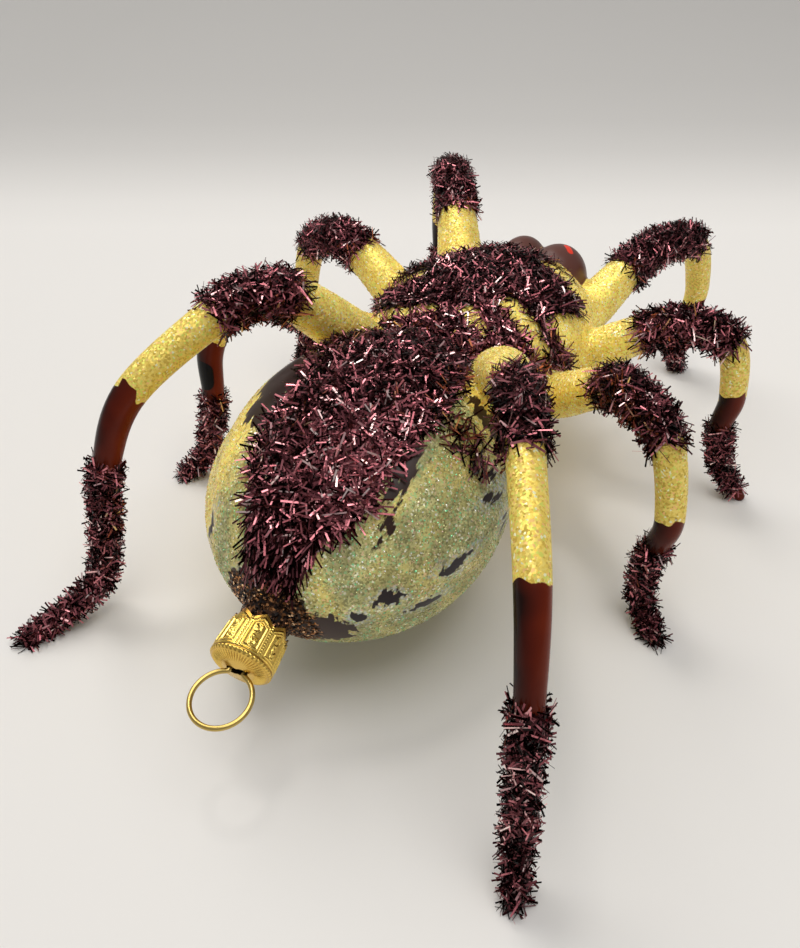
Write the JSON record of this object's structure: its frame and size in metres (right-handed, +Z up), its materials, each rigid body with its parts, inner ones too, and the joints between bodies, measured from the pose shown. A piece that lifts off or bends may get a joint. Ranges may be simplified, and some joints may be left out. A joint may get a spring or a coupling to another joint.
{
  "type": "glass tarantula ornament",
  "caption": "Blown-glass spider ornament with glittered body, tinsel-furred knees and feet, and a crown cap with a wire hanging ring.",
  "frame": {"origin": "middle of the footprint, on the table under the toes", "axes": "+Y towards the spider's head, +Z up, +X to the spider's right"},
  "size_m": [0.1566, 0.2161, 0.078],
  "materials": {
    "glitter_glass": "yellow iridescent glitter over lacquer",
    "brown_glass": "glossy brown lacquer",
    "tinsel": "cut metallic foil strips",
    "gold": "bright stamped"
  },
  "bodies": {
    "root": {"glass_body": "glitter_glass", "glass_thorax": "glitter_glass", "leg_left_1": "brown_glass", "leg_left_2": "brown_glass", "leg_left_3": "brown_glass", "leg_left_4": "brown_glass", "leg_right_1": "brown_glass", "leg_right_2": "brown_glass", "leg_right_3": "brown_glass", "leg_right_4": "brown_glass", "knee_tinsel_left_1": "tinsel", "knee_tinsel_left_2": "tinsel", "knee_tinsel_left_3": "tinsel", "knee_tinsel_left_4": "tinsel", "knee_tinsel_right_1": "tinsel", "knee_tinsel_right_2": "tinsel", "knee_tinsel_right_3": "tinsel", "knee_tinsel_right_4": "tinsel", "foot_tinsel_left_1": "tinsel", "foot_tinsel_left_2": "tinsel", "foot_tinsel_left_3": "tinsel", "foot_tinsel_left_4": "tinsel", "foot_tinsel_right_1": "tinsel", "foot_tinsel_right_2": "tinsel", "foot_tinsel_right_3": "tinsel", "foot_tinsel_right_4": "tinsel", "abdomen_tinsel": "tinsel", "carapace_tinsel": "tinsel", "cap": "gold", "hanger_ring": "gold"}
  },
  "joints": []
}
